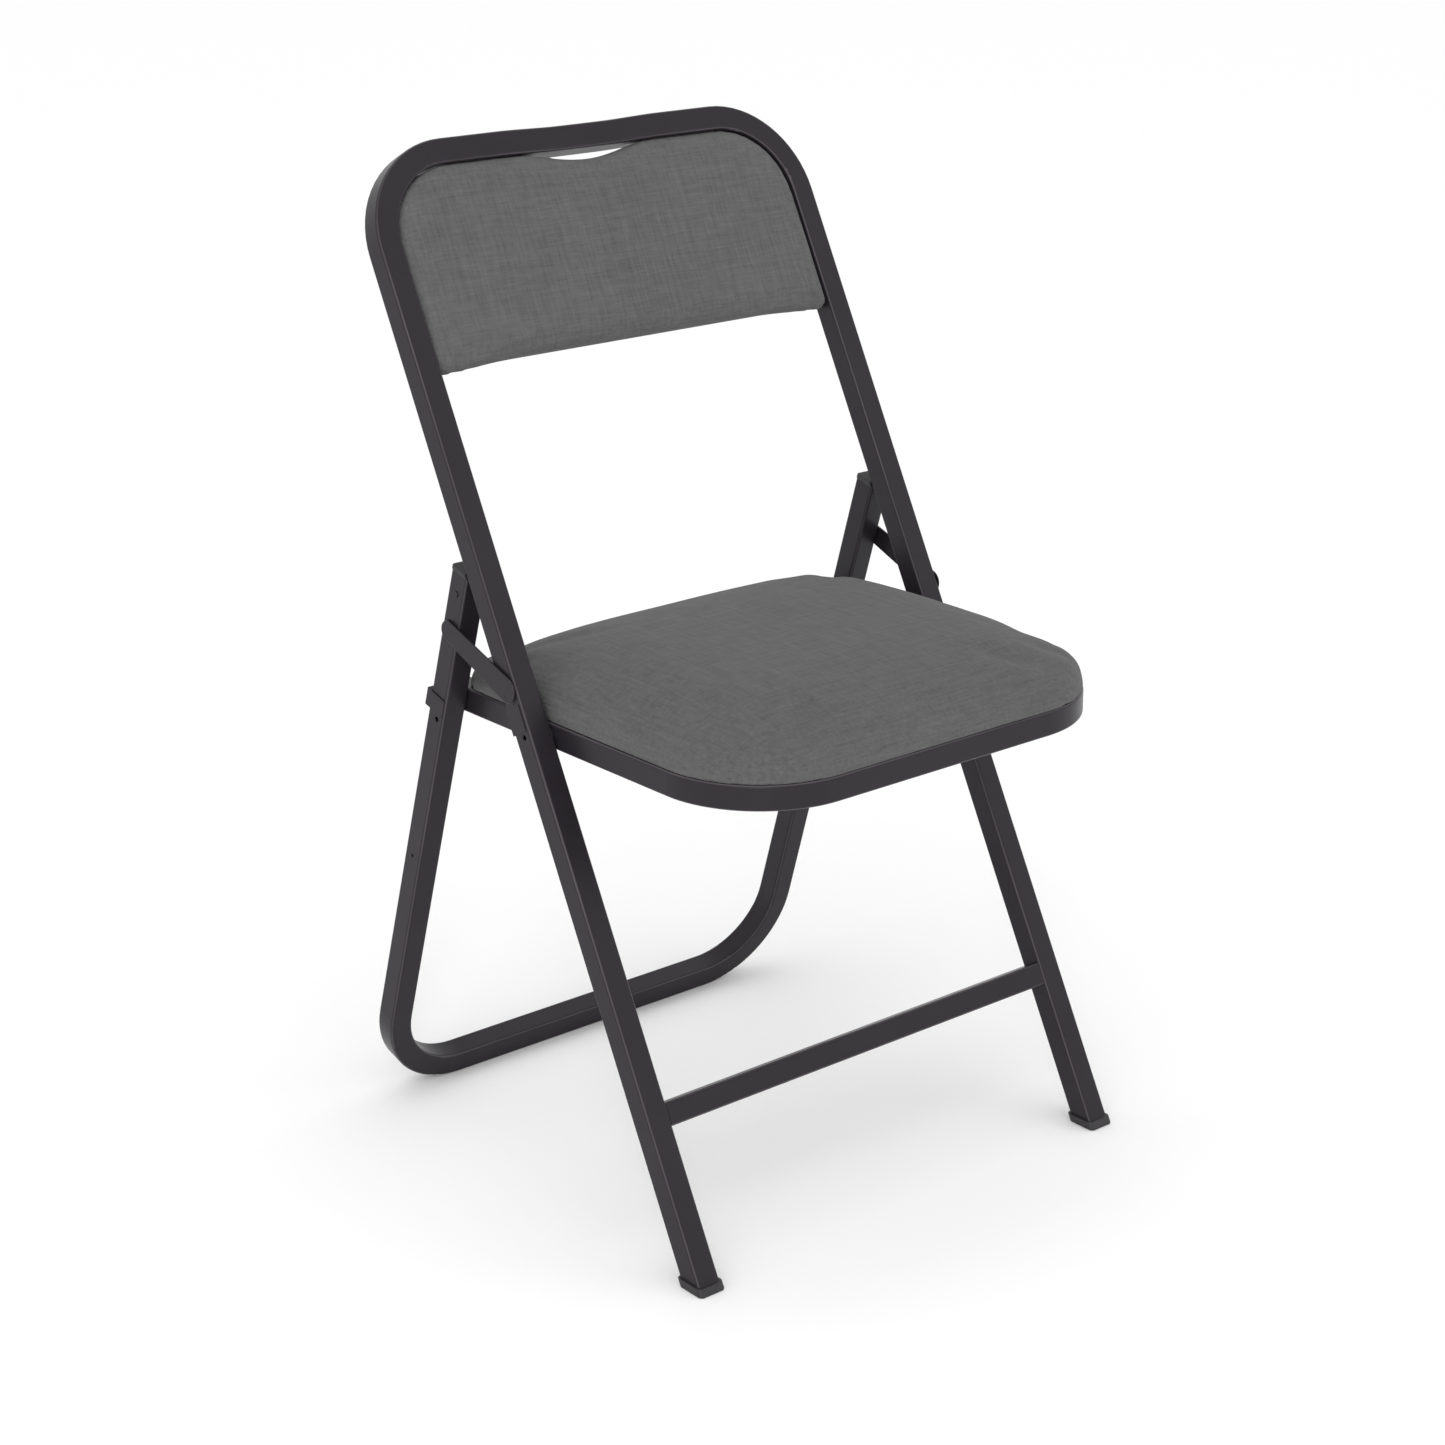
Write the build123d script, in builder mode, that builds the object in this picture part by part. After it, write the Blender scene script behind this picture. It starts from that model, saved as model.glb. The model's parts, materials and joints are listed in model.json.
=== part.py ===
"""Folding chair of square steel tube with an upholstered seat and back, in millimetres.

The chair faces -Y, +X is the viewer's right, +Z is up, and the floor is Z = 0.
Left and right are as seen from the front. Each frame is drawn in a leaning plane of its own:
x runs across the chair, y runs up the frame, and z points to the front.
"""
from build123d import *
import os
from math import cos, radians, sin

os.makedirs("parts", exist_ok=True)

# ---- driving dimensions -------------------------------------------------------------------
tube = 21.0  # outer side of the square tube
wall = 1.2
tube_round = 2.5  # outer corner radius of the tube
overall_width = 450.0  # over the uprights, and over the rear legs
bend_radius = 74.0  # tube centreline, at the top of the back and at the floor
seat_bend_radius = 81.0

front_foot_y = -216.7  # front face of the front legs where they meet the floor
rear_foot_y = 221.3  # front face of the rear legs where they meet the floor
front_lean = 27.5  # degrees from vertical, the top leans back
rear_lean = 16.7  # degrees from vertical, the top leans forward
front_length = 930.0  # floor to the outside of the top rail, along the upright
rear_length = 526.0  # floor to the cut end of a rear leg, along the leg
rail_dip = 1.5  # the top rail dips at its middle, where a hand takes it
stretcher_height = 129.5  # to its lower face, along the leg

seat_pivot_height = 446.5  # along the upright
seat_rear_pivot_height = 404.8  # along the rear leg
link_front_height = 482.0  # along the upright
link_rear_height = 471.0  # along the rear leg
seat_front_reach = 239.5  # from the seat pivot to the front face of the seat frame
seat_rear_reach = 132.0  # from the seat pivot to the rear ends of the side rails

back_pad_low = 744.0  # lower edge of the back pad, along the upright
back_pad_high = 908.3
cushion_height = 38.0
running_play = 0.05  # radial play of a pin in its hole
side_play = 0.3  # between a fixed piece and one that turns beside it

# ---- derived sizes ------------------------------------------------------------------------
half = tube / 2
bore = tube - 2 * wall
bore_round = tube_round - wall
outer_x = overall_width / 2  # outer face of the legs
inner_x = outer_x - tube  # inner face of the legs
leg_x = outer_x - half
side_gap = 1.5  # between a leg and the seat rail beside it
rail_x = inner_x - side_gap - half  # centre of a seat side rail

lean = radians(front_lean)
rear = radians(rear_lean)

# ---- planes and pivots --------------------------------------------------------------------
front_face = Plane((0, front_foot_y, 0), (1, 0, 0), (0, -cos(lean), sin(lean)))
front_mid = front_face.offset(-half)
# the rear bar stands on its rounded lower front corner
corner_drop = tube_round * (cos(rear) + sin(rear) - 1)
rear_face = Plane((0, rear_foot_y, -corner_drop), (1, 0, 0), (0, -cos(rear), -sin(rear)))
rear_mid = rear_face.offset(-half)

seat_pivot = front_mid.from_local_coords(Vector(0, seat_pivot_height, 0))
seat_rear_pivot = rear_mid.from_local_coords(Vector(0, seat_rear_pivot_height, 0))
link_front_pivot = front_mid.from_local_coords(Vector(0, link_front_height, 0))
link_rear_pivot = rear_mid.from_local_coords(Vector(0, link_rear_height, 0))
# the seat plane holds the rail centrelines: x across, y to the back, z up
rail_line = (seat_rear_pivot - seat_pivot).normalized()
seat_mid = Plane(seat_pivot, (1, 0, 0), (0, -rail_line.Z, rail_line.Y))
seat_top = seat_mid.offset(half)

SIDES = ((-1, "left"), (1, "right"))


def finish(part, name):
    """Label a finished piece and write it to its own file."""
    part.label = name
    export_step(part, f"parts/{name}.step")


def tube_along(path):
    """A hollow square tube along a flat path that starts beside the chair's -X side."""
    start = Plane(path @ 0, (1, 0, 0), path % 0)
    with BuildPart() as bent:
        with BuildSketch(start):
            RectangleRounded(tube, tube, tube_round)
        sweep(path=path)
        with BuildSketch(start):
            RectangleRounded(bore, bore, bore_round)
        sweep(path=path, mode=Mode.SUBTRACT)
    return bent.part


def side_plane(pivot, x, side):
    """A plane square to X on a pivot's axis, facing away from the middle of the chair."""
    return Plane((side * x, pivot.Y, pivot.Z), (0, 1, 0), (side, 0, 0))


def stepped_pin(pivot, side, steps):
    """A turned pin on a pivot's axis: each step is (start x, end x, radius)."""
    with BuildPart() as pin:
        for start, end, radius in steps:
            with BuildSketch(side_plane(pivot, start, side)):
                Circle(radius)
            extrude(amount=end - start)
    return pin.part


def rounded_outline(reach, low, high, low_radius, high_radius):
    """A closed outline across the chair with a corner radius at each end."""
    corners = [(-reach, low), (-reach, high), (reach, high), (reach, low)]
    return FilletPolyline(
        *corners, radius=[low_radius, high_radius, high_radius, low_radius], close=True
    )


# ---- front frame: one tube bent into an inverted U ----------------------------------------
foot_lift = 4.5  # floor to the cut end of the tube
foot_start = -30.0  # the leg is drawn over length, then cut parallel to the floor
top_line = front_length - half
dip_half = 30.0  # half the lowest stretch of the top rail
dip_start = 75.0
dip_round = 600.0
vent_radius = 2.4
rivet_radius = 3.0
pin_radius = 4.0
front_vent = front_mid.from_local_coords(Vector(0, seat_pivot_height + 1.5, 2))

with BuildLine(front_mid) as front_path:
    FilletPolyline(
        (-leg_x, foot_start),
        (-leg_x, top_line),
        (-dip_start, top_line),
        (-dip_half, top_line - rail_dip),
        (dip_half, top_line - rail_dip),
        (dip_start, top_line),
        (leg_x, top_line),
        (leg_x, foot_start),
        radius=[bend_radius, dip_round, dip_round, dip_round, dip_round, bend_radius],
    )
with BuildPart() as front_frame_tube:
    add(tube_along(front_path.wire()))
    split(bisect_by=Plane.XY.offset(foot_lift), keep=Keep.TOP)
    for side, _ in SIDES:
        for pivot, x, radius in (
            (seat_pivot, inner_x, pin_radius),
            (link_front_pivot, outer_x - wall, rivet_radius),
            (front_vent, outer_x - wall, vent_radius),
        ):
            with BuildSketch(side_plane(pivot, x - wall, side)):
                Circle(radius)
            extrude(amount=3 * wall, mode=Mode.SUBTRACT)
finish(front_frame_tube.part, "front_frame_tube")

stretcher_tube = 19.0
stretcher_bore = stretcher_tube - 2 * wall
stretcher_mid_height = stretcher_height + stretcher_tube / 2
stretcher_middle = front_mid.from_local_coords(Vector(0, stretcher_mid_height, 0))
with BuildPart() as front_stretcher:
    with BuildSketch(Plane(stretcher_middle, front_mid.z_dir, (1, 0, 0))):
        RectangleRounded(stretcher_tube, stretcher_tube, tube_round)
        RectangleRounded(stretcher_bore, stretcher_bore, bore_round, mode=Mode.SUBTRACT)
    extrude(amount=inner_x, both=True)
finish(front_stretcher.part, "front_stretcher")

# ---- foot caps: a lip round the end of each front leg and a plug inside it -----------------
cap_overhang = 2.0
cap_height = 6.8
cap_corner = 4.0
cap_edge = 1.2
plug_depth = 30.0
for side, name in SIDES:
    leg_end = front_mid.from_local_coords(Vector(side * leg_x, foot_start, 0))
    leg_section = Plane(leg_end, (1, 0, 0), front_mid.y_dir)
    with BuildPart() as foot_cap:
        with BuildSketch(leg_section):
            RectangleRounded(tube + 2 * cap_overhang, tube + 2 * cap_overhang, cap_corner)
        extrude(amount=-2 * foot_start)
        split(bisect_by=Plane.XY, keep=Keep.TOP)
        split(bisect_by=Plane.XY.offset(cap_height), keep=Keep.BOTTOM)
        fillet(foot_cap.edges().group_by(Axis.Z)[0], cap_edge)
        fillet(foot_cap.edges().group_by(Axis.Z)[-1], cap_edge / 2)
    with BuildPart() as leg_room:
        with BuildSketch(leg_section):
            RectangleRounded(tube, tube, tube_round)
        extrude(amount=-2 * foot_start)
        split(bisect_by=Plane.XY.offset(foot_lift), keep=Keep.TOP)
    with BuildPart() as leg_plug:
        with BuildSketch(leg_section):
            RectangleRounded(bore, bore, bore_round)
        extrude(amount=plug_depth - foot_start)
        split(bisect_by=Plane.XY.offset(foot_lift), keep=Keep.TOP)
    with BuildPart() as foot_cap_whole:
        add(foot_cap.part)
        add(leg_room.part, mode=Mode.SUBTRACT)
        add(leg_plug.part)
    finish(foot_cap_whole.part, f"foot_cap_{name}")

# ---- wear clips: plates under the links, hooked over the back of the uprights --------------
clip_thick = 0.6
clip_low = 452.0
clip_high = 474.0
clip_setback = 3.0  # the clip stops this far behind the upright's front face
clip_lip = 5.0
clip_middle = (clip_low + clip_high) / 2
for side, name in SIDES:
    with BuildPart() as upright_clip:
        with BuildSketch(front_face.offset(-tube - clip_thick)):
            with Locations((side * (outer_x + clip_thick / 2), clip_middle)):
                Rectangle(clip_thick, clip_high - clip_low)
        extrude(amount=tube + clip_thick - clip_setback)
        with BuildSketch(front_face.offset(-tube - clip_thick)):
            with Locations((side * (outer_x - clip_lip / 2), clip_middle)):
                Rectangle(clip_lip, clip_high - clip_low)
        extrude(amount=clip_thick)
    finish(upright_clip.part, f"upright_clip_{name}")

# ---- seat pivots: rivets through the uprights' inner walls and the seat rails ---------------
pin_head = 6.5
pin_head_thick = 1.5
rail_face = rail_x - half  # inner face of a seat rail
washer_thick = 1.0
washer_radius = 8.5
pin_steps = (
    (rail_face - side_play - pin_head_thick, rail_face - side_play, pin_head),
    (rail_face - side_play, inner_x + wall, pin_radius),
    (inner_x + wall, inner_x + wall + pin_head_thick, pin_head),
)
for side, name in SIDES:
    finish(stepped_pin(seat_pivot, side, pin_steps), f"seat_pivot_{name}")
    with BuildPart() as seat_washer:
        with BuildSketch(side_plane(seat_pivot, inner_x - washer_thick, side)):
            Circle(washer_radius)
            Circle(pin_radius, mode=Mode.SUBTRACT)
        extrude(amount=washer_thick)
    finish(seat_washer.part, f"seat_washer_{name}")

# ---- links: flat steel straps on the outer faces, from each rear leg to its upright ---------
link_washer_thick = 0.6
link_gap = link_washer_thick + side_play  # between the tube and the link
link_thick = 1.6
link_front_radius = 10.5  # the link tapers from its front end to its rear end
link_rear_radius = 8.5
link_front_rise = 5.5  # from a rivet to the middle of that end, up the frame
link_rear_rise = 3.5
link_washer_radius = 6.5
rivet_head = 4.0
rivet_head_thick = 0.6
link_in = outer_x + link_gap
link_out = link_in + link_thick
link_vector = link_rear_pivot - link_front_pivot
link_front_end = front_mid.from_local_coords(Vector(0, link_front_height + link_front_rise, 0))
link_rear_end = rear_mid.from_local_coords(Vector(0, link_rear_height + link_rear_rise, 0))
front_rivet_steps = (
    (outer_x - wall - rivet_head_thick, outer_x - wall, rivet_head),
    (outer_x - wall, link_out - rivet_head_thick, rivet_radius),
    (link_out - rivet_head_thick, link_out - running_play, rivet_head),
)
rear_rivet_steps = (
    (link_in - link_washer_thick + running_play, link_in, link_washer_radius),
    (link_in, link_out - rivet_head_thick, rivet_radius),
    (link_out - rivet_head_thick, link_out - running_play, rivet_head),
)
for side, name in SIDES:
    link_plane = Plane(
        (side * link_in, link_front_pivot.Y, link_front_pivot.Z), link_vector, (side, 0, 0)
    )
    with BuildPart() as link:
        with BuildSketch(link_plane):
            for end, radius in (
                (link_front_end, link_front_radius),
                (link_rear_end, link_rear_radius),
            ):
                place = link_plane.to_local_coords(end)
                with Locations((place.X, place.Y)):
                    Circle(radius)
            make_hull()
            Circle(rivet_radius + running_play, mode=Mode.SUBTRACT)
            with Locations((link_vector.length, 0)):
                Circle(rivet_radius, mode=Mode.SUBTRACT)
        extrude(amount=link_thick)
        fillet(link.faces().sort_by(Axis.X)[-1 if side > 0 else 0].outer_wire().edges(), 0.7)
        with BuildSketch(link_plane.offset(link_thick - rivet_head_thick - side_play)):
            Circle(rivet_head + running_play)
        extrude(amount=rivet_head_thick + side_play, mode=Mode.SUBTRACT)
        with BuildSketch(link_plane.offset(link_thick - rivet_head_thick)):
            with Locations((link_vector.length, 0)):
                Circle(rivet_head)
        extrude(amount=rivet_head_thick, mode=Mode.SUBTRACT)
    finish(link.part, f"link_{name}")
    finish(stepped_pin(link_front_pivot, side, front_rivet_steps), f"link_front_rivet_{name}")
    finish(stepped_pin(link_rear_pivot, side, rear_rivet_steps), f"link_rear_rivet_{name}")
    with BuildPart() as link_washer:
        with BuildSketch(side_plane(link_front_pivot, outer_x, side)):
            Circle(link_washer_radius)
            Circle(rivet_radius, mode=Mode.SUBTRACT)
        extrude(amount=link_washer_thick)
    finish(link_washer.part, f"link_washer_{name}")

# ---- rear legs: one tube bent into a U, its bar on the floor --------------------------------
rear_vent = rear_mid.from_local_coords(Vector(0, 391, 2))
leg_hole = rear_mid.from_local_coords(Vector(0, 254, 0))
plug_rivet = rear_mid.from_local_coords(Vector(0, 508, 0))
leg_hole_radius = 1.6
plug_rivet_radius = 2.0

with BuildLine(rear_mid) as rear_path:
    FilletPolyline(
        (-leg_x, rear_length),
        (-leg_x, half),
        (leg_x, half),
        (leg_x, rear_length),
        radius=bend_radius,
    )
with BuildPart() as rear_leg_tube:
    add(tube_along(rear_path.wire()))
    for side, _ in SIDES:
        for pivot, x, radius in (
            (seat_rear_pivot, inner_x, pin_radius),
            (rear_vent, outer_x - wall, vent_radius),
            (leg_hole, outer_x - wall, leg_hole_radius),
            (plug_rivet, outer_x - wall, plug_rivet_radius),
        ):
            with BuildSketch(side_plane(pivot, x - wall, side)):
                Circle(radius)
            extrude(amount=3 * wall, mode=Mode.SUBTRACT)
finish(rear_leg_tube.part, "rear_leg_tube")

# plugs in the tops of the rear legs, cut off where they bear on the uprights
top_lip = 0.6
top_lip_height = 4.6
stop_gap = 0.5
top_plug_depth = 26.0
upright_back = front_face.offset(-tube - stop_gap)
plug_rivet_steps = (
    (outer_x - wall, outer_x, plug_rivet_radius),
    (outer_x, outer_x + 0.7, plug_rivet_radius + 0.8),
)
for side, name in SIDES:
    leg_top = rear_mid.from_local_coords(Vector(side * leg_x, rear_length, 0))
    with BuildPart() as rear_cap:
        with BuildSketch(Plane(leg_top, (1, 0, 0), rear_mid.y_dir)):
            RectangleRounded(tube + 2 * top_lip, tube + 2 * top_lip, tube_round + top_lip)
        extrude(amount=top_lip_height)
        fillet(rear_cap.faces().sort_by(Axis.Z)[-1].edges(), 1.2)
        split(bisect_by=upright_back, keep=Keep.BOTTOM)
        with BuildSketch(Plane(leg_top, (1, 0, 0), rear_mid.y_dir)):
            RectangleRounded(bore, bore, bore_round)
        extrude(amount=-top_plug_depth)
    finish(rear_cap.part, f"rear_cap_{name}")
    finish(stepped_pin(plug_rivet, side, plug_rivet_steps), f"rear_cap_rivet_{name}")

# saddles: straps round the back of the rear legs, the inner cheek is the seat rail's spacer
saddle_thick = 1.0
saddle_back = 4.5  # behind the leg
saddle_setback = 2.0  # the cheeks stop this far behind the leg's front face
saddle_tall = 15.5
saddle_drop = 0.5  # from the pivot down to the middle of the saddle
saddle_round = 0.9
for side, name in SIDES:
    saddle_low = rear_mid.from_local_coords(
        Vector(side * leg_x, seat_rear_pivot_height - saddle_drop - saddle_tall / 2, 0)
    )
    with BuildPart() as rear_saddle:
        with BuildSketch(Plane(saddle_low, (1, 0, 0), rear_mid.y_dir)):
            with Locations((0, (saddle_back + saddle_setback) / 2)):
                RectangleRounded(
                    tube + 2 * saddle_thick, tube + saddle_back - saddle_setback, saddle_round
                )
            Rectangle(tube, tube, mode=Mode.SUBTRACT)
        extrude(amount=saddle_tall)
        with BuildSketch(side_plane(seat_rear_pivot, inner_x - 2 * saddle_thick, side)):
            Circle(pin_radius)
        extrude(amount=4 * saddle_thick, mode=Mode.SUBTRACT)
    finish(rear_saddle.part, f"rear_saddle_{name}")
    finish(stepped_pin(seat_rear_pivot, side, pin_steps), f"seat_rear_pivot_{name}")

# ---- seat frame: a U of tube open to the back, and a crossbar --------------------------------
crossbar_reach = 88.0  # from the seat pivot back to the crossbar's centre
with BuildLine(seat_mid) as seat_path:
    FilletPolyline(
        (-rail_x, seat_rear_reach),
        (-rail_x, half - seat_front_reach),
        (rail_x, half - seat_front_reach),
        (rail_x, seat_rear_reach),
        radius=seat_bend_radius,
    )
with BuildPart() as seat_frame_tube:
    add(tube_along(seat_path.wire()))
    for side, _ in SIDES:
        for pivot in (seat_pivot, seat_rear_pivot):
            with BuildSketch(side_plane(pivot, rail_face - 1, side)):
                Circle(pin_radius + running_play)
            extrude(amount=tube + 2, mode=Mode.SUBTRACT)
finish(seat_frame_tube.part, "seat_frame_tube")

crossbar_middle = seat_mid.from_local_coords(Vector(0, crossbar_reach, 0))
with BuildPart() as seat_crossbar:
    with BuildSketch(Plane(crossbar_middle, seat_mid.z_dir, (1, 0, 0))):
        RectangleRounded(tube, tube, tube_round)
        RectangleRounded(bore, bore, bore_round, mode=Mode.SUBTRACT)
    extrude(amount=rail_face, both=True)
finish(seat_crossbar.part, "seat_crossbar")

rail_plug_depth = 10.0  # stops short of the rear pivot
rail_plug_lip = 2.0
for side, name in SIDES:
    rail_end = seat_mid.from_local_coords(Vector(side * rail_x, seat_rear_reach, 0))
    with BuildPart() as rail_plug:
        with BuildSketch(Plane(rail_end, (1, 0, 0), seat_mid.y_dir)):
            RectangleRounded(tube, tube, tube_round)
        extrude(amount=rail_plug_lip)
        fillet(rail_plug.faces().sort_by(Axis.Y)[-1].edges(), 0.8)
        with BuildSketch(Plane(rail_end, (1, 0, 0), seat_mid.y_dir)):
            RectangleRounded(bore, bore, bore_round)
        extrude(amount=-rail_plug_depth)
    finish(rail_plug.part, f"rail_plug_{name}")

# ---- seat board, the tabs and screws that hold it, and the cushion ---------------------------
board_thick = 8.0
board_reach = 194.0
board_front = -231.0
board_back = 124.0
cushion_reach = 202.0
cushion_front = -239.0
cushion_back = 130.0
front_corner = 90.0  # corner radii of the cushion
back_corner = 40.0
corner_step = 7.0  # the board's corner radii are this much smaller
tab_long = 30.0
tab_wide = 24.0
seat_tab_thick = 4.0  # deep enough to meet the flat side of the rail
back_tab_thick = 2.0
tab_hole = 2.7
screw_radius = 2.5
screw_head = 4.6
screw_head_tall = 2.6
screw_depth = 7.0
seat_tab_x = rail_face - tab_wide / 2
seat_tab_places = [(side * seat_tab_x, y) for side, _ in SIDES for y in (-120.0, 40.0)]

with BuildPart() as seat_board:
    with BuildSketch(seat_top):
        with BuildLine():
            rounded_outline(
                board_reach, board_front, board_back,
                front_corner - corner_step, back_corner - corner_step,
            )
        make_face()
        with Locations(*seat_tab_places):
            Circle(screw_radius, mode=Mode.SUBTRACT)
    extrude(amount=board_thick)
finish(seat_board.part, "seat_board")

with BuildPart() as seat_cushion:
    with BuildSketch(seat_top):
        with BuildLine():
            rounded_outline(
                cushion_reach, cushion_front, cushion_back, front_corner, back_corner
            )
        make_face()
    extrude(amount=cushion_height)
    fillet(seat_cushion.faces().sort_by(Axis.Z)[-1].edges(), 14)
    with BuildSketch(seat_top):
        with BuildLine():
            rounded_outline(
                board_reach, board_front, board_back,
                front_corner - corner_step, back_corner - corner_step,
            )
        make_face()
    extrude(amount=board_thick, mode=Mode.SUBTRACT)
finish(seat_cushion.part, "seat_cushion")

with BuildPart() as seat_tabs:
    with BuildSketch(seat_top):
        with Locations(*seat_tab_places):
            Rectangle(tab_wide, tab_long)
            Circle(tab_hole, mode=Mode.SUBTRACT)
    extrude(amount=-seat_tab_thick)
finish(seat_tabs.part, "seat_tabs")

with BuildPart() as seat_screws:
    with BuildSketch(seat_top.offset(-seat_tab_thick)):
        with Locations(*seat_tab_places):
            Circle(screw_head)
    extrude(amount=-screw_head_tall)
    fillet(seat_screws.faces().group_by(Axis.Z)[0].edges(), 1)
    with BuildSketch(seat_top.offset(-seat_tab_thick)):
        with Locations(*seat_tab_places):
            Circle(screw_radius)
    extrude(amount=screw_depth + seat_tab_thick)
finish(seat_screws.part, "seat_screws")

# ---- back pad: foam and fabric on a board between the uprights -------------------------------
pad_reach = inner_x - 0.5
pad_corner = bend_radius - half - 1.0
pad_front = 2.0  # the pad stands this far in front of the uprights
pad_back = 16.0  # behind the front face of the uprights
pad_edge = 4.0
forward = Axis(front_face.origin, front_face.z_dir)
slit_half = 62.0  # the hand slit under the top rail
slit_depth = 9.0
back_board_thick = 5.0
back_board_inset = 7.0
back_tab_x = inner_x - tab_wide / 2
back_tab_places = [(side * back_tab_x, y) for side, _ in SIDES for y in (775.0, 828.0)]
back_screw_depth = back_board_thick - 0.5


def back_outline(inset):
    """The outline of the back pad, or of its board when inset, with the hand slit's dip."""
    reach = pad_reach - inset
    low = back_pad_low + inset
    high = back_pad_high - inset
    corner = pad_corner - inset
    bend = corner * (1 - cos(radians(45)))
    Line((-reach, high - corner), (-reach, low))
    Line((-reach, low), (reach, low))
    Line((reach, low), (reach, high - corner))
    ThreePointArc((reach, high - corner), (reach - bend, high - bend), (reach - corner, high))
    Line((reach - corner, high), (slit_half, high))
    ThreePointArc((slit_half, high), (0, high - slit_depth), (-slit_half, high))
    Line((-slit_half, high), (corner - reach, high))
    ThreePointArc((corner - reach, high), (bend - reach, high - bend), (-reach, high - corner))


with BuildPart() as back_board:
    with BuildSketch(front_face.offset(-pad_back)):
        with BuildLine():
            back_outline(back_board_inset)
        make_face()
        with Locations(*back_tab_places):
            Circle(screw_radius, mode=Mode.SUBTRACT)
    extrude(amount=back_board_thick)
finish(back_board.part, "back_board")

with BuildPart() as back_pad:
    with BuildSketch(front_face.offset(-pad_back)):
        with BuildLine():
            back_outline(0)
        make_face()
    extrude(amount=pad_back + pad_front)
    fillet(back_pad.faces().sort_by(forward)[-1].edges(), pad_edge)
    with BuildSketch(front_face.offset(-pad_back)):
        with BuildLine():
            back_outline(back_board_inset)
        make_face()
    extrude(amount=back_board_thick, mode=Mode.SUBTRACT)
finish(back_pad.part, "back_pad")

with BuildPart() as back_tabs:
    with BuildSketch(front_face.offset(-pad_back)):
        with Locations(*back_tab_places):
            Rectangle(tab_wide, tab_long)
            Circle(tab_hole, mode=Mode.SUBTRACT)
    extrude(amount=-back_tab_thick)
finish(back_tabs.part, "back_tabs")

with BuildPart() as back_screws:
    with BuildSketch(front_face.offset(-pad_back - back_tab_thick)):
        with Locations(*back_tab_places):
            Circle(screw_head)
    extrude(amount=-screw_head_tall)
    with BuildSketch(front_face.offset(-pad_back - back_tab_thick)):
        with Locations(*back_tab_places):
            Circle(screw_radius)
    extrude(amount=back_screw_depth + back_tab_thick)
finish(back_screws.part, "back_screws")
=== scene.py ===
import json
import math

import bpy
from mathutils import Matrix, Vector, noise


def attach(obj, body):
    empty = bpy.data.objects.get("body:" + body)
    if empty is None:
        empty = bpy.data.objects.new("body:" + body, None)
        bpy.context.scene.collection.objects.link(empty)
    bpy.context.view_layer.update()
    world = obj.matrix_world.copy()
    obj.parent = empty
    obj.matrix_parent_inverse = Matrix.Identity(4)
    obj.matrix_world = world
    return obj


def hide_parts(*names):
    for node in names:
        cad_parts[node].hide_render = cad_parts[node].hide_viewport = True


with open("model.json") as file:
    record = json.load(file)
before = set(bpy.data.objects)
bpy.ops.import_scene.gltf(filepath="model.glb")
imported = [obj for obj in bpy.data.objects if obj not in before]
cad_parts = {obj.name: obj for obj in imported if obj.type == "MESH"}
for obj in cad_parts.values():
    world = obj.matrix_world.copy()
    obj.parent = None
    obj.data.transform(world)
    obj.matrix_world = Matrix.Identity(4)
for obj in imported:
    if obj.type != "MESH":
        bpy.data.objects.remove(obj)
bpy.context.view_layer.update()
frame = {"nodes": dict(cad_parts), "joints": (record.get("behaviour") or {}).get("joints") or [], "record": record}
MM = 0.001

# ---- the chair's own planes, read from the joints ----------------------------------------------
joints = {joint["name"]: joint for joint in frame["joints"]}
SEAT_PIVOT = Vector(joints["seat_fold"]["pos_m"])
REAR_PIVOT = Vector(joints["rear_leg_fold"]["pos_m"])
LINK_PIVOT = Vector(joints["link_left_fold"]["pos_m"])
BACK_UP = (LINK_PIVOT - SEAT_PIVOT).normalized()  # up the uprights
BACK_IN = Vector((0, BACK_UP.z, -BACK_UP.y))  # from the front face to the back
SEAT_BACK = (REAR_PIVOT - SEAT_PIVOT).normalized()
SEAT_UP = Vector((0, -SEAT_BACK.z, SEAT_BACK.y))
HALF_TUBE = 10.5  # mm
PIVOT_HEIGHT = 446.5  # mm up the upright, of the seat's pivot
REAR_LEAN = math.radians(16.7)  # of the rear legs, forwards from upright


def on_seat(x, y, z):
    """Seat plane millimetres (z above the rails) to metres in the frame."""
    return SEAT_PIVOT + Vector((x, 0, 0)) * MM + SEAT_BACK * (y * MM) + SEAT_UP * ((z + HALF_TUBE) * MM)


def in_seat(p):
    """The inverse of on_seat."""
    d = p - SEAT_PIVOT
    return Vector((d.x, d.dot(SEAT_BACK), d.dot(SEAT_UP) - HALF_TUBE * MM)) / MM


def on_back(x, t, n):
    """Millimetres up the upright (t) and behind its front face (n) to metres in the frame."""
    return (
        SEAT_PIVOT
        + Vector((x, 0, 0)) * MM
        + BACK_UP * ((t - PIVOT_HEIGHT) * MM)
        + BACK_IN * ((n - HALF_TUBE) * MM)
    )


def in_back(p):
    """The inverse of on_back."""
    d = p - SEAT_PIVOT
    return Vector(
        (d.x / MM, d.dot(BACK_UP) / MM + PIVOT_HEIGHT, d.dot(BACK_IN) / MM + HALF_TUBE)
    )


def smooth(a, b, v):
    """0 up to a, 1 from b, and an S-curve between."""
    v = min(1, max(0, (v - a) / (b - a)))
    return v * v * (3 - 2 * v)


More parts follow.
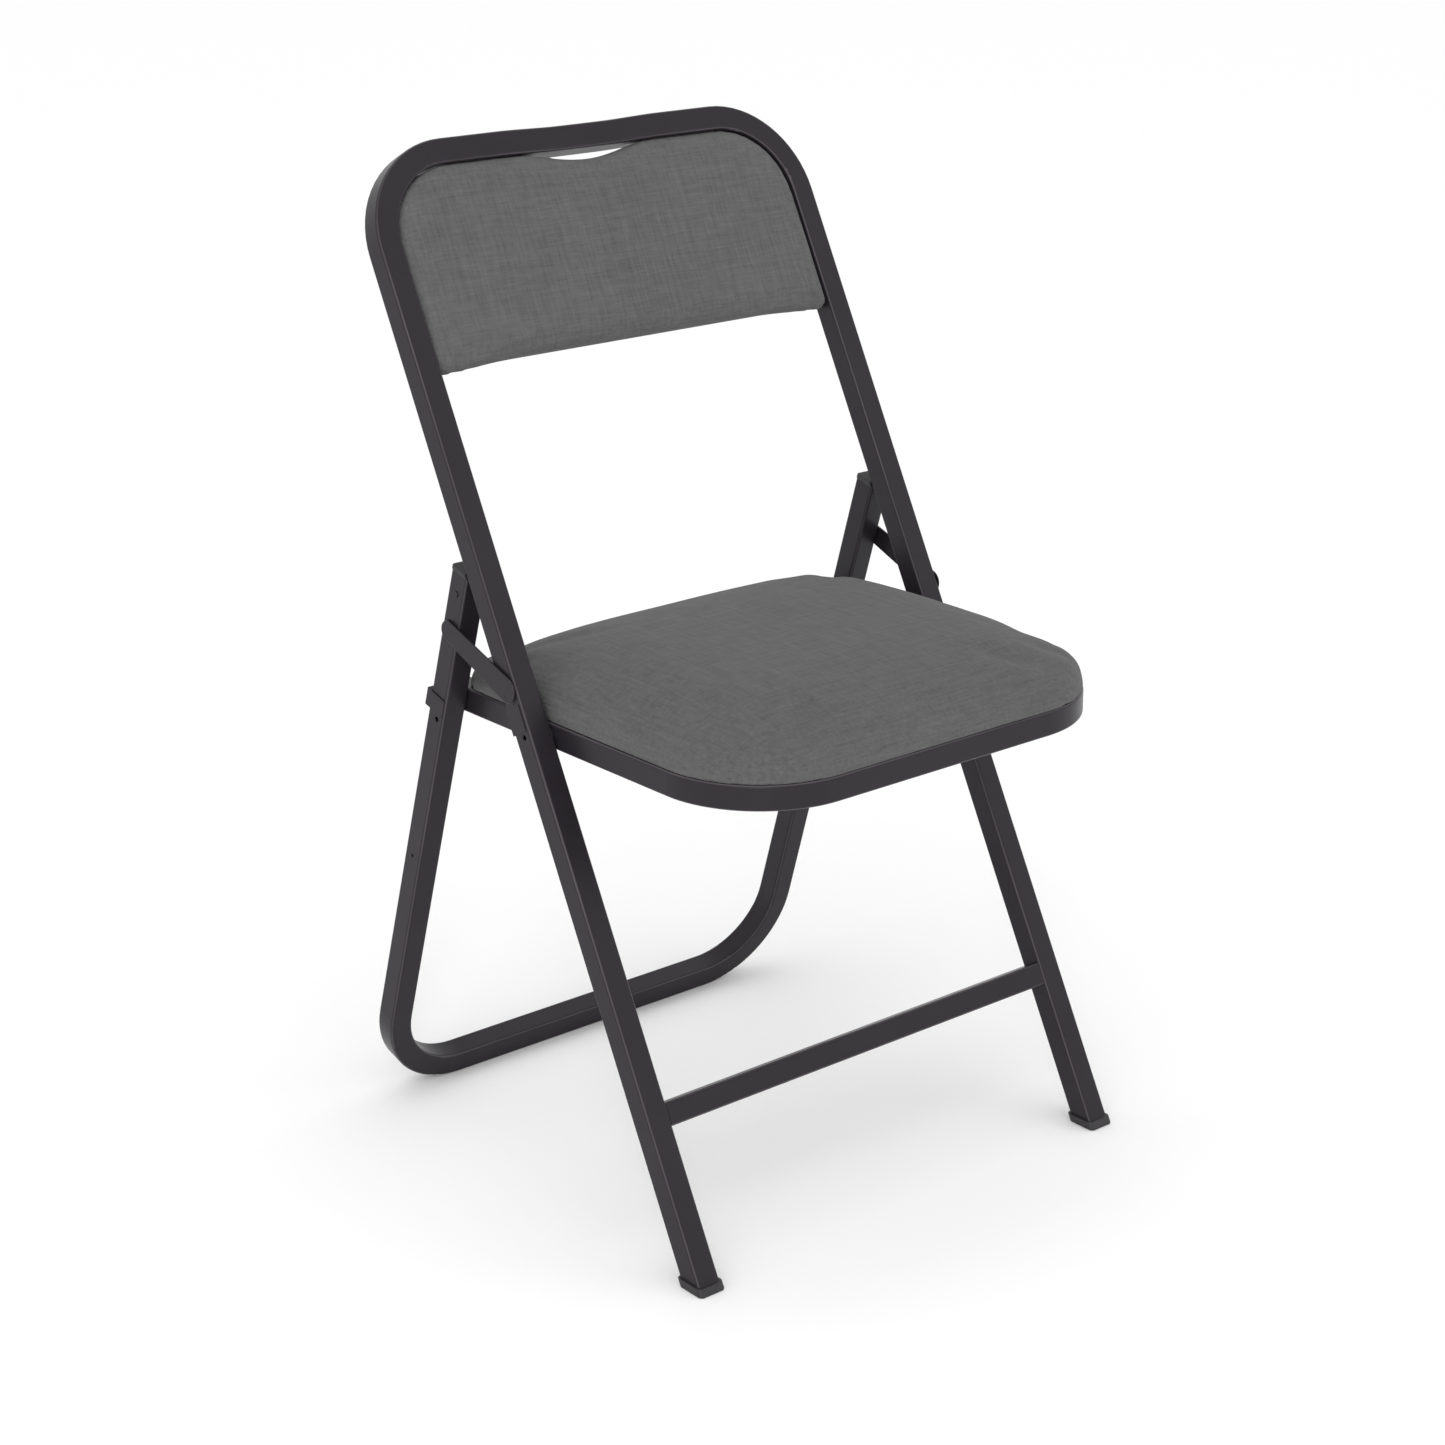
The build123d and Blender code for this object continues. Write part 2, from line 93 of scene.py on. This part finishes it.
# ---- camera ------------------------------------------------------------------------------------
AZIMUTH = math.radians(-39.94)
ELEVATION = math.radians(17.275)
TARGET = Vector((-0.0788, -0.0664, 0.4914))
DISTANCE = 2.361
LENS = 75.6  # mm, on a sensor 36 mm wide
SHIFT_UP = -0.0848
back = Vector(
    (
        math.sin(AZIMUTH) * math.cos(ELEVATION),
        -math.cos(AZIMUTH) * math.cos(ELEVATION),
        math.sin(ELEVATION),
    )
)
right = Vector((0, 0, 1)).cross(back).normalized()
up = back.cross(right)
camera_data = bpy.data.cameras.new("camera")
camera_data.lens = LENS
camera_data.sensor_width = 36
camera_data.shift_y = SHIFT_UP
camera = bpy.data.objects.new("camera", camera_data)
pose = Matrix((right, up, back)).transposed().to_4x4()
pose.translation = TARGET + back * DISTANCE
camera.matrix_world = pose
bpy.context.scene.collection.objects.link(camera)
bpy.context.scene.camera = camera

# ---- light and floor ---------------------------------------------------------------------------
LIGHTS_AIM = Vector((0, 0, 0.45))
scene = bpy.context.scene
scene.view_settings.view_transform = "Standard"
world = bpy.data.worlds.new("studio")
world.use_nodes = True
background = world.node_tree.nodes["Background"]
background.inputs["Color"].default_value = (1, 1, 1, 1)
background.inputs["Strength"].default_value = 1.0
scene.world = world


def area_light(name, at, width, height, power):
    """A rectangular lamp that looks at the middle of the chair. Metres and watts."""
    data = bpy.data.lights.new(name, "AREA")
    data.shape = "RECTANGLE"
    data.size = width
    data.size_y = height
    data.energy = power
    lamp = bpy.data.objects.new(name, data)
    lamp.location = at
    lamp.rotation_euler = (LIGHTS_AIM - Vector(at)).to_track_quat("-Z", "Y").to_euler()
    scene.collection.objects.link(lamp)


area_light("key", (-2.6, -1.2, 2.6), 1.5, 1.5, 9)
area_light("fill", (2.0, -2.6, 1.8), 1.8, 1.8, 6)
# a tall strip that draws a thin bright line down the rounded edges of the tubes
area_light("strip", (-1.95, -2.2, 1.35), 0.22, 2.6, 20)


# ---- materials ---------------------------------------------------------------------------------
PAINT_DARK = (0.0180, 0.0152, 0.0190)
PAINT_LIGHT = (0.0215, 0.0184, 0.0226)
# the painted highlight along the tubes' rounded edges: its colour, and how strongly it is mixed in
PAINT_EDGE_HIGHLIGHT = (0.080, 0.071, 0.079, 1)
EDGE_HIGHLIGHT_AMOUNT = 1.5
THREAD = (55, 800)  # noise scale along a thread and across it
SLUB = (24, 340)
WEAVE_SCALE = 260


def principled(name, roughness, specular, sheen=0.0, metallic=0.0):
    material = bpy.data.materials.new(name)
    material.use_nodes = True
    shader = material.node_tree.nodes["Principled BSDF"]
    shader.inputs["Roughness"].default_value = roughness
    shader.inputs["Specular IOR Level"].default_value = specular
    shader.inputs["Metallic"].default_value = metallic
    if sheen:
        shader.inputs["Sheen Weight"].default_value = sheen
        shader.inputs["Sheen Roughness"].default_value = 0.5
    return material, material.node_tree.nodes, material.node_tree.links, shader


def noise_at(nodes, links, vector, scale, detail=3.0, rough=0.55):
    tex = nodes.new("ShaderNodeTexNoise")
    tex.inputs["Scale"].default_value = scale
    tex.inputs["Detail"].default_value = detail
    tex.inputs["Roughness"].default_value = rough
    links.new(vector, tex.inputs["Vector"])
    return tex.outputs["Fac"]


def mapped(nodes, links, vector, scale, rotation=(0, 0, 0)):
    m = nodes.new("ShaderNodeMapping")
    m.vector_type = "POINT"
    m.inputs["Scale"].default_value = scale
    m.inputs["Rotation"].default_value = rotation
    links.new(vector, m.inputs["Vector"])
    return m.outputs["Vector"]


def math_node(nodes, links, operation, *values, clamp=False):
    """A Math node whose inputs are numbers or sockets."""
    m = nodes.new("ShaderNodeMath")
    m.operation = operation
    m.use_clamp = clamp
    for socket, value in zip(m.inputs, values):
        if isinstance(value, (int, float)):
            socket.default_value = value
        else:
            links.new(value, socket)
    return m.outputs[0]


def ramp(nodes, links, value, stops):
    """A colour ramp over (position, colour) stops."""
    r = nodes.new("ShaderNodeValToRGB")
    while len(r.color_ramp.elements) < len(stops):
        r.color_ramp.elements.new(0.5)
    for element, (position, colour) in zip(r.color_ramp.elements, stops):
        element.position = position
        element.color = (*colour, 1)
    links.new(value, r.inputs["Fac"])
    return r.outputs["Color"]


def grey(v):
    return (v, v, v)


def bands(nodes, links, vector, direction):
    """The threads of one direction of a weave."""
    wave = nodes.new("ShaderNodeTexWave")
    wave.wave_type = "BANDS"
    wave.bands_direction = direction
    wave.inputs["Scale"].default_value = WEAVE_SCALE
    wave.inputs["Distortion"].default_value = 1.5
    links.new(vector, wave.inputs["Vector"])
    return wave.outputs["Fac"]


def bump(nodes, links, shader, height, strength, distance):
    b = nodes.new("ShaderNodeBump")
    b.inputs["Strength"].default_value = strength
    b.inputs["Distance"].default_value = distance
    links.new(height, b.inputs["Height"])
    links.new(b.outputs["Normal"], shader.inputs["Normal"])


def paint_material(name, facing):
    """Satin powder coat: near black with a violet cast and fine orange peel, with a painted highlight, a lighter
    colour, along the rounded edges.

    `facing` is the direction that the flat front faces of this frame's tubes look to.
    """
    material, nodes, links, shader = principled(name, 0.34, 0.18)
    place = nodes.new("ShaderNodeTexCoord")
    coords = place.outputs["Object"]
    cloudy = noise_at(nodes, links, coords, 14, 4)
    colour = ramp(nodes, links, cloudy, [(0.30, PAINT_DARK), (0.70, PAINT_LIGHT)])
    across = nodes.new("ShaderNodeVectorMath")
    across.operation = "DOT_PRODUCT"
    across.inputs[1].default_value = facing
    links.new(place.outputs["Normal"], across.inputs[0])
    # painted highlight: lighter colour, strongest on the rounded edges, where the surface looks half to the front,
    # half to the side
    squared = math_node(nodes, links, "POWER", across.outputs["Value"], 2.0)
    rest = math_node(nodes, links, "SUBTRACT", 1.0, squared)
    turn = math_node(nodes, links, "MULTIPLY", squared, rest)
    edge_highlight = math_node(nodes, links, "POWER", math_node(nodes, links, "MULTIPLY", turn, 4.0), 3.0)
    uneven_highlight = math_node(nodes, links, "MULTIPLY", edge_highlight, noise_at(nodes, links, coords, 9, 3))
    mix = nodes.new("ShaderNodeMix")
    mix.data_type = "RGBA"
    # the painted highlight's share of the colour, made uneven by noise
    highlight_share = math_node(nodes, links, "MULTIPLY", uneven_highlight, EDGE_HIGHLIGHT_AMOUNT, clamp=True)
    links.new(highlight_share, mix.inputs["Factor"])
    links.new(colour, mix.inputs[6])  # A, of the colour pair
    mix.inputs[7].default_value = PAINT_EDGE_HIGHLIGHT  # B
    links.new(mix.outputs[2], shader.inputs["Base Color"])
    fine = noise_at(nodes, links, coords, 60, 5)
    rough = math_node(nodes, links, "MULTIPLY_ADD", fine, 0.12, 0.27)
    links.new(rough, shader.inputs["Roughness"])
    peel = noise_at(nodes, links, coords, 1800, 2)
    bump(nodes, links, shader, peel, 0.12, 0.0003)
    return material


def plastic_material():
    material, nodes, links, shader = principled("black_plastic", 0.55, 0.45)
    coords = nodes.new("ShaderNodeTexCoord").outputs["Object"]
    colour = ramp(
        nodes, links, noise_at(nodes, links, coords, 40, 4),
        [(0.3, (0.018, 0.016, 0.0185)), (0.7, (0.026, 0.0235, 0.026))],
    )
    links.new(colour, shader.inputs["Base Color"])
    bump(nodes, links, shader, noise_at(nodes, links, coords, 2500, 2), 0.2, 0.0003)
    return material


def metal_material():
    material, nodes, links, shader = principled("zinc", 0.4, 0.5, metallic=0.85)
    coords = nodes.new("ShaderNodeTexCoord").outputs["Object"]
    colour = ramp(
        nodes, links, noise_at(nodes, links, coords, 300, 4),
        [(0.3, (0.30, 0.30, 0.31)), (0.7, (0.42, 0.42, 0.43))],
    )
    links.new(colour, shader.inputs["Base Color"])
    bump(nodes, links, shader, noise_at(nodes, links, coords, 1500, 2), 0.1, 0.0002)
    return material


def board_material():
    """Dark stained plywood with grain across the chair."""
    material, nodes, links, shader = principled("board", 0.75, 0.3)
    coords = nodes.new("ShaderNodeTexCoord").outputs["Object"]
    grain = noise_at(nodes, links, mapped(nodes, links, coords, (6, 160, 160)), 1.0, 5)
    colour = ramp(
        nodes, links, grain,
        [(0.35, (0.020, 0.016, 0.014)), (0.65, (0.045, 0.037, 0.031))],
    )
    links.new(colour, shader.inputs["Base Color"])
    bump(nodes, links, shader, grain, 0.25, 0.0005)
    return material


def linen_material(name, lean, tone):
    """Grey melange linen. Threads run across the chair and along the panel, leaned by `lean`."""
    material, nodes, links, shader = principled(name, 0.95, 0.15, sheen=0.08)
    coords = nodes.new("ShaderNodeTexCoord").outputs["Object"]
    flat = mapped(nodes, links, coords, (1, 1, 1), (lean, 0, 0))
    yarns = []
    for (long, wide), detail in ((THREAD, 4), (SLUB, 3)):
        for scale in ((long, wide, wide), (wide, long, wide)):
            stretched = mapped(nodes, links, flat, scale)
            yarns.append(noise_at(nodes, links, stretched, 1.0, detail, 0.6))
    patch = noise_at(nodes, links, flat, 16, 3, 0.5)
    threads = math_node(nodes, links, "ADD", yarns[0], yarns[1])
    slubs = math_node(nodes, links, "ADD", yarns[2], yarns[3])
    mix = math_node(nodes, links, "ADD", threads, slubs)
    total = math_node(nodes, links, "MULTIPLY_ADD", patch, 0.25, mix)
    value = math_node(nodes, links, "MULTIPLY", total, 1 / 4.25)
    colour = ramp(
        nodes, links, value,
        [
            (0.34, grey(0.055 * tone)),
            (0.46, grey(0.079 * tone)),
            (0.52, grey(0.089 * tone)),
            (0.66, grey(0.114 * tone)),
        ],
    )
    links.new(colour, shader.inputs["Base Color"])
    weave_x = bands(nodes, links, flat, "X")
    weave_y = bands(nodes, links, flat, "Y")
    weave = math_node(nodes, links, "ADD", weave_x, weave_y)
    height = math_node(nodes, links, "ADD", weave, threads)
    bump(nodes, links, shader, height, 0.35, 0.0004)
    return material


back_lean = math.atan2(BACK_UP.z, BACK_UP.y)
seat_lean = math.atan2(SEAT_BACK.z, SEAT_BACK.y)
rear_facing = Vector((0, -math.cos(REAR_LEAN), -math.sin(REAR_LEAN)))
# each frame's paint places its painted edge highlight by the way its tubes' front faces look
paint = {
    "front_frame": paint_material("paint_front", -BACK_IN),
    "seat": paint_material("paint_seat", SEAT_UP),
    "rear_frame": paint_material("paint_rear", rear_facing),
    "link_left": paint_material("paint_link", Vector((1, 0, 0))),
}
paint["link_right"] = paint["link_left"]
bodies = frame["record"]["behaviour"]["bodies"]
body_of = {node: body for body, nodes in bodies.items() for node in nodes}
by_slot = {
    "black_plastic": plastic_material(),
    "zinc": metal_material(),
    "board": board_material(),
}
# the back's linen is given a lighter tone than the seat's, though it is the same fabric: painted light that makes
# up for the lamps lighting the back pad less than the seat's top
SEAT_TONE = 1.14
BACK_TONE = 1.22
seat_linen = linen_material("linen_seat", -seat_lean, SEAT_TONE)
back_linen = linen_material("linen_back", -back_lean, BACK_TONE)
by_slot["upholstery"] = seat_linen
for part in frame["record"]["subparts"]:
    node = frame["nodes"][part["node"]]
    node.data.materials.clear()
    if part["material_slot"] == "frame_paint":
        node.data.materials.append(paint[body_of[part["node"]]])
    else:
        node.data.materials.append(by_slot[part["material_slot"]])


# ---- soft pieces -------------------------------------------------------------------------------
CLOTH_FRAMES = 20
RELAX_WEIGHTS = (0.5, -0.52)  # a step in and a slightly larger step out, so nothing shrinks
EDGE_SPAN = 2  # points each way that give the outline's direction


def closed_form(name, rings, place):
    """A closed mesh from rings of equal length, given in a panel's own millimetres."""
    points = []
    faces = []
    count = len(rings[0])
    for ring in rings:
        points += [place(*p) for p in ring]
    for r in range(len(rings) - 1):
        for i in range(count):
            j = (i + 1) % count
            a = r * count
            b = a + count
            faces.append((a + i, a + j, b + j, b + i))
    faces.append(tuple(range(count - 1, -1, -1)))
    last = (len(rings) - 1) * count
    faces.append(tuple(range(last, last + count)))
    mesh = bpy.data.meshes.new(name)
    mesh.from_pydata([tuple(p) for p in points], [], faces)
    mesh.update()
    piece = bpy.data.objects.new(name, mesh)
    scene.collection.objects.link(piece)
    return piece


def resample(outline, count):
    """Even points along a closed outline."""
    lengths = [0.0]
    closed = outline + [outline[0]]
    for a, b in zip(closed, closed[1:]):
        lengths.append(lengths[-1] + math.dist(a, b))
    result = []
    k = 0
    for i in range(count):
        s = lengths[-1] * i / count
        while lengths[k + 1] < s:
            k += 1
        f = (s - lengths[k]) / max(1e-9, lengths[k + 1] - lengths[k])
        a, b = closed[k], closed[k + 1]
        result.append((a[0] + (b[0] - a[0]) * f, a[1] + (b[1] - a[1]) * f))
    return result


def corner(cx, cy, radius, start):
    """A quarter circle from the angle `start`, in degrees."""
    steps = 24
    angles = [math.radians(start + 90 * i / steps) for i in range(steps + 1)]
    return [(cx + radius * math.cos(a), cy + radius * math.sin(a)) for a in angles]


def inset(outline, distance):
    """The outline moved inwards along its normals."""
    result = []
    count = len(outline)
    for i in range(count):
        ax, ay = outline[i - EDGE_SPAN]
        bx, by = outline[(i + EDGE_SPAN) % count]
        length = math.hypot(bx - ax, by - ay)
        result.append(
            (
                outline[i][0] - (by - ay) / length * distance,
                outline[i][1] + (bx - ax) / length * distance,
            )
        )
    return result


def simulate(piece, voxel, pinned, pressure, cap):
    """Remesh, inflate with cloth, and cap how far each point moved. Metres."""
    bpy.ops.object.select_all(action="DESELECT")
    piece.select_set(True)
    bpy.context.view_layer.objects.active = piece
    piece.data.remesh_voxel_size = voxel
    piece.data.use_remesh_fix_poles = True
    bpy.ops.object.voxel_remesh()
    start = [v.co.copy() for v in piece.data.vertices]
    group = piece.vertex_groups.new(name="pin")
    held = [i for i, co in enumerate(start) if pinned(co)]
    group.add(held, 1.0, "REPLACE")
    cloth = piece.modifiers.new("cloth", "CLOTH")
    s = cloth.settings
    s.quality = 6
    s.mass = 0.3
    s.tension_stiffness = 18
    s.compression_stiffness = 18
    s.shear_stiffness = 8
    s.bending_stiffness = 2.0
    s.air_damping = 4
    s.use_pressure = True
    s.uniform_pressure_force = pressure
    s.vertex_group_mass = "pin"
    s.effector_weights.gravity = 0
    cloth.collision_settings.use_collision = False
    cloth.point_cache.frame_start = 1
    cloth.point_cache.frame_end = CLOTH_FRAMES
    for f in range(1, CLOTH_FRAMES + 1):
        scene.frame_set(f)
    bpy.ops.object.modifier_apply(modifier="cloth")
    scene.frame_set(1)
    for v, before in zip(piece.data.vertices, start):
        move = v.co - before
        if move.length > cap:
            v.co = before + move.normalized() * cap
    piece.vertex_groups.clear()


def relax(piece, rounds, keep):
    """Even out the remesh's steps, leaving points that `keep` names where they are."""
    mesh = piece.data
    around = [[] for _ in mesh.vertices]
    for edge in mesh.edges:
        a, b = edge.vertices
        around[a].append(b)
        around[b].append(a)
    free = [not keep(v.co) for v in mesh.vertices]
    co = [v.co.copy() for v in mesh.vertices]
    for _ in range(rounds):
        for weight in RELAX_WEIGHTS:
            moved = []
            for i, p in enumerate(co):
                if free[i] and around[i]:
                    mean = sum((co[k] for k in around[i]), Vector()) / len(around[i])
                    p = p + (mean - p) * weight
                moved.append(p)
            co = moved
    for v, p in zip(mesh.vertices, co):
        v.co = p


def shade(piece, material):
    """The piece's one material, smooth shading and one subdivision."""
    piece.data.materials.clear()
    piece.data.materials.append(material)
    for polygon in piece.data.polygons:
        polygon.use_smooth = True
    subdivide = piece.modifiers.new("fine", "SUBSURF")
    subdivide.levels = 1
    subdivide.render_levels = 1


# ---- seat cushion ------------------------------------------------------------------------------
SEAT_REACH = 202.0
SEAT_FRONT = -239.0
SEAT_REAR = 130.0
FRONT_R = 90.0
REAR_R = 40.0
SEAT_RIM = 6.0
SEAT_CROWN = 39.0
SEAT_MID = (SEAT_FRONT + SEAT_REAR) / 2
SEAT_CENTRE = (0.0, SEAT_MID + 10)
SEAT_HALF_WIDTH = 200
SEAT_HALF_DEPTH = 183
GATHER_HEIGHT = 0.9
FOAM_HEIGHT = 0.7
EDGE_REACH = 2.4  # how far the fabric's lowest edge is drawn out, and down
EDGE_DROP = 1.8
SEAT_SHOULDER = 21.0  # mm inside the outline, where the wall has turned into the top
SEAT_TOP_RINGS = 24
# the foot of the wall: mm inside the outline, mm above the rails
SEAT_FOOT = ((9.0, 0.8), (4.0, 0.2), (1.0, 0.1), (0.2, 0.8), (0.8, 5.0))
# the wall: mm inside the outline, share of the height at the shoulder
SEAT_WALL = ((1.9, 0.38), (3.9, 0.55), (6.9, 0.71), (10.9, 0.84), (15.8, 0.93))


def seat_outline():
    points = corner(SEAT_REACH - REAR_R, SEAT_REAR - REAR_R, REAR_R, 0)
    points += corner(REAR_R - SEAT_REACH, SEAT_REAR - REAR_R, REAR_R, 90)
    points += corner(FRONT_R - SEAT_REACH, SEAT_FRONT + FRONT_R, FRONT_R, 180)
    points += corner(SEAT_REACH - FRONT_R, SEAT_FRONT + FRONT_R, FRONT_R, 270)
    return resample(points, 260)


def seat_dome(x, y):
    """The height of the seat's top: low round the rim and lowest at its corners."""
    u = min(1, abs(x) / SEAT_REACH)
    v = min(1, abs(y - SEAT_MID) / (SEAT_REAR - SEAT_MID))
    return SEAT_RIM + SEAT_CROWN * ((1 - u**4) * (1 - v**2.6)) ** 0.45


def seat_rings():
    outline = seat_outline()
    shoulder = inset(outline, SEAT_SHOULDER)
    rings = []
    for distance, z in SEAT_FOOT:
        rings.append([(x, y, z) for x, y in inset(outline, distance)])
    for distance, share in SEAT_WALL:
        around = zip(inset(outline, distance), shoulder)
        rings.append([(x, y, share * seat_dome(*edge)) for (x, y), edge in around])
    cx, cy = SEAT_CENTRE
    for i in range(SEAT_TOP_RINGS):
        s = 1 - i / SEAT_TOP_RINGS
        ring = [(cx + (x - cx) * s, cy + (y - cy) * s) for x, y in shoulder]
        rings.append([(x, y, seat_dome(x, y)) for x, y in ring])
    return rings


def seat_edge(x, y):
    """How far inside the seat's outline a point is, and the way out from there."""
    ax = abs(x)
    for radius, cy, beyond in (
        (FRONT_R, SEAT_FRONT + FRONT_R, -1),
        (REAR_R, SEAT_REAR - REAR_R, 1),
    ):
        cx = SEAT_REACH - radius
        if ax > cx and (y - cy) * beyond > 0:
            away = math.hypot(ax - cx, y - cy)
            return radius - away, math.copysign((ax - cx) / away, x), (y - cy) / away
    return min(
        (SEAT_REACH - ax, math.copysign(1.0, x), 0.0),
        (y - SEAT_FRONT, 0.0, -1.0),
        (SEAT_REAR - y, 0.0, 1.0),
    )


def build_seat():
    piece = closed_form("seat_cushion_fabric", seat_rings(), on_seat)
    simulate(piece, voxel=0.005, pinned=lambda co: in_seat(co).z < 4.0, pressure=3.0, cap=0.004)
    relax(piece, rounds=20, keep=lambda co: in_seat(co).z < 1.5)
    for v in piece.data.vertices:
        p = in_seat(v.co)
        dx, dy = p.x - SEAT_CENTRE[0], p.y - SEAT_CENTRE[1]
        angle = math.atan2(dy, dx)
        reach = math.hypot(dx / SEAT_HALF_WIDTH, dy / SEAT_HALF_DEPTH)
        # gathers that run down the wall to the edge, strongest at the corners and the front
        wave = noise.noise(Vector((math.cos(angle) * 11, math.sin(angle) * 11, 3.1)))
        wave += 0.5 * noise.noise(Vector((math.cos(angle) * 26, math.sin(angle) * 26, 7.7)))
        wall = smooth(0.80, 0.97, reach) * smooth(2, 8, p.z) * (1 - smooth(20, 30, p.z) * 0.6)
        p += Vector((dx, dy, 40)).normalized() * wave * wall * GATHER_HEIGHT
        # slow unevenness of the foam
        p.z += smooth(10, 20, p.z) * FOAM_HEIGHT * noise.noise(Vector((p.x / 90, p.y / 90, 0.4)))
        # the fabric is pulled down tight on the frame's outer edge
        depth, out_x, out_y = seat_edge(p.x, p.y)
        tight = (1 - smooth(0, 5, depth)) * (1 - smooth(0, 6, p.z))
        move = min(EDGE_REACH * tight, depth)
        low = -0.7 if depth - move < 1 else 0.15
        z = max(low, p.z - EDGE_DROP * tight)
        v.co = on_seat(p.x + out_x * move, p.y + out_y * move, z)
    shade(piece, seat_linen)
    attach(piece, "seat")
    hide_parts("seat_cushion")


# ---- back pad ----------------------------------------------------------------------------------
PAD_REACH = 203.9
PAD_LOW = 744.0
PAD_HIGH = 908.6
PAD_R = 63.2
SLIT_HALF = 64.0
SLIT_DEPTH = 9.6
PAD_CORNER = 196
PAD_HEM = 746
PAD_BOW = 2.8
PAD_SHOULDER = 16.0
PAD_FRONT_RINGS = 20
# the pad's back and side: mm inside the outline, mm behind the front face of the uprights
PAD_SIDE = ((9.0, 15.0), (6.5, 16.0), (1.6, 16.0), (0.3, 14.0), (0.0, 9.0), (0.3, 5.0))
PAD_ROUND = ((1.4, 2.4), (3.4, 0.6), (6.5, -0.4), (11.0, -1.0))


def pad_outline():
    points = [(-PAD_REACH, PAD_LOW), (PAD_REACH, PAD_LOW)]
    points += corner(PAD_REACH - PAD_R, PAD_HIGH - PAD_R, PAD_R, 0)
    steps = 24
    for i in range(steps + 1):
        x = SLIT_HALF * (1 - 2 * i / steps)
        points.append((x, PAD_HIGH - SLIT_DEPTH * math.cos(math.pi / 2 * x / SLIT_HALF) ** 1.5))
    points += corner(PAD_R - PAD_REACH, PAD_HIGH - PAD_R, PAD_R, 90)
    return resample(points, 300)


def pad_rings():
    outline = pad_outline()
    rings = []
    for distance, n in PAD_SIDE + PAD_ROUND:
        rings.append([(x, t, n) for x, t in inset(outline, distance)])
    shoulder = inset(outline, PAD_SHOULDER)
    cx = 0.0
    ct = (PAD_LOW + PAD_HIGH) / 2
    for i in range(PAD_FRONT_RINGS):
        s = 1 - i / PAD_FRONT_RINGS
        n = -1.2 - 1.0 * (1 - s**2)
        rings.append([(cx + (x - cx) * s, ct + (t - ct) * s, n) for x, t in shoulder])
    return rings


def build_back():
    piece = closed_form("back_pad_fabric", pad_rings(), on_back)
    simulate(piece, voxel=0.004, pinned=lambda co: in_back(co).z > 7.0, pressure=2.0, cap=0.002)
    relax(piece, rounds=12, keep=lambda co: in_back(co).z > 14.5)
    for v in piece.data.vertices:
        p = in_back(v.co)
        # gathers where the fabric is drawn round the lower corners
        near = math.hypot((abs(p.x) - PAD_CORNER) / 34, (p.y - PAD_HEM) / 18)
        pull = (1 - smooth(0.2, 1.2, near)) * (1 - smooth(8, 14, p.z))
        fold = math.sin(abs(p.x) * 0.42 + p.y * 0.12)
        p.z -= pull * (0.5 + fold) * GATHER_HEIGHT
        # the lower edge bows: its ends hang a little below its middle
        bow = PAD_BOW * smooth(130, 198, abs(p.x)) + pull * fold * 1.5
        p.y -= (1 - smooth(PAD_HEM, PAD_HEM + 18, p.y)) * bow
        p.z += 0.5 * noise.noise(Vector((p.x / 70, p.y / 60, 5.5))) * (1 - smooth(4, 10, p.z))
        v.co = on_back(p.x, p.y, p.z)
    shade(piece, back_linen)
    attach(piece, "front_frame")
    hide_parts("back_pad")


build_seat()
build_back()

# ---- floor -------------------------------------------------------------------------------------
FLOOR = 30  # metres each way
floor_mesh = bpy.data.meshes.new("floor")
floor_corners = [(-FLOOR, -FLOOR, 0), (FLOOR, -FLOOR, 0), (FLOOR, FLOOR, 0), (-FLOOR, FLOOR, 0)]
floor_mesh.from_pydata(floor_corners, [], [(0, 1, 2, 3)])
floor = bpy.data.objects.new("floor", floor_mesh)
floor_material, _, _, floor_shader = principled("floor", 0.9, 0.1)
floor_shader.inputs["Base Color"].default_value = (0.99, 0.99, 0.99, 1)
floor_mesh.materials.append(floor_material)
scene.collection.objects.link(floor)
